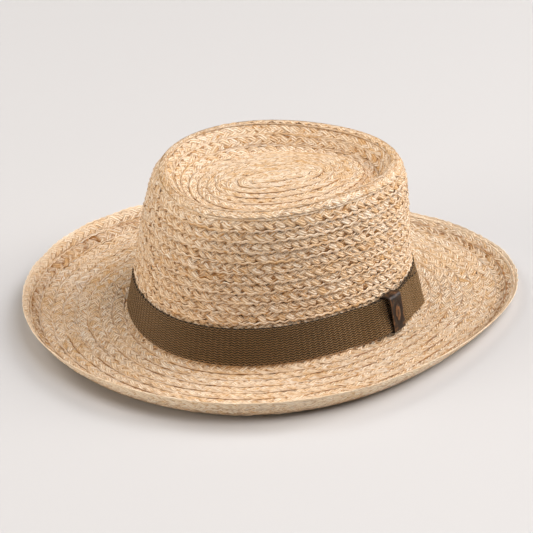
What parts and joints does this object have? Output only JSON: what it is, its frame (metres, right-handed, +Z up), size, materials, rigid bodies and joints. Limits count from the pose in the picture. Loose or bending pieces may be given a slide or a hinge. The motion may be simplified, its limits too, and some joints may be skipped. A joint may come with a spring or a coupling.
{
  "type": "gambler hat",
  "caption": "Wide-brimmed sewn straw hat: telescope crown with a sunken top, curled brim edge, woven band and a leather band keeper.",
  "frame": {"origin": "middle of the hat's outline seen from above, on the surface that the brim rests on", "axes": "+Z up, +Y towards the hat's front end, +X towards the wearer's right"},
  "size_m": [0.3133, 0.3621, 0.115],
  "materials": {
    "straw_braid": "natural raffia braid, sewn in overlapping rows, dry satin",
    "woven_band": "olive webbing in a fine zigzag weave, matt",
    "keeper_leather": "dark brown waxed leather, semi-gloss"
  },
  "bodies": {
    "root": {"crown": "straw_braid", "brim": "straw_braid", "hat_band": "woven_band", "band_keeper": "keeper_leather"}
  },
  "joints": []
}
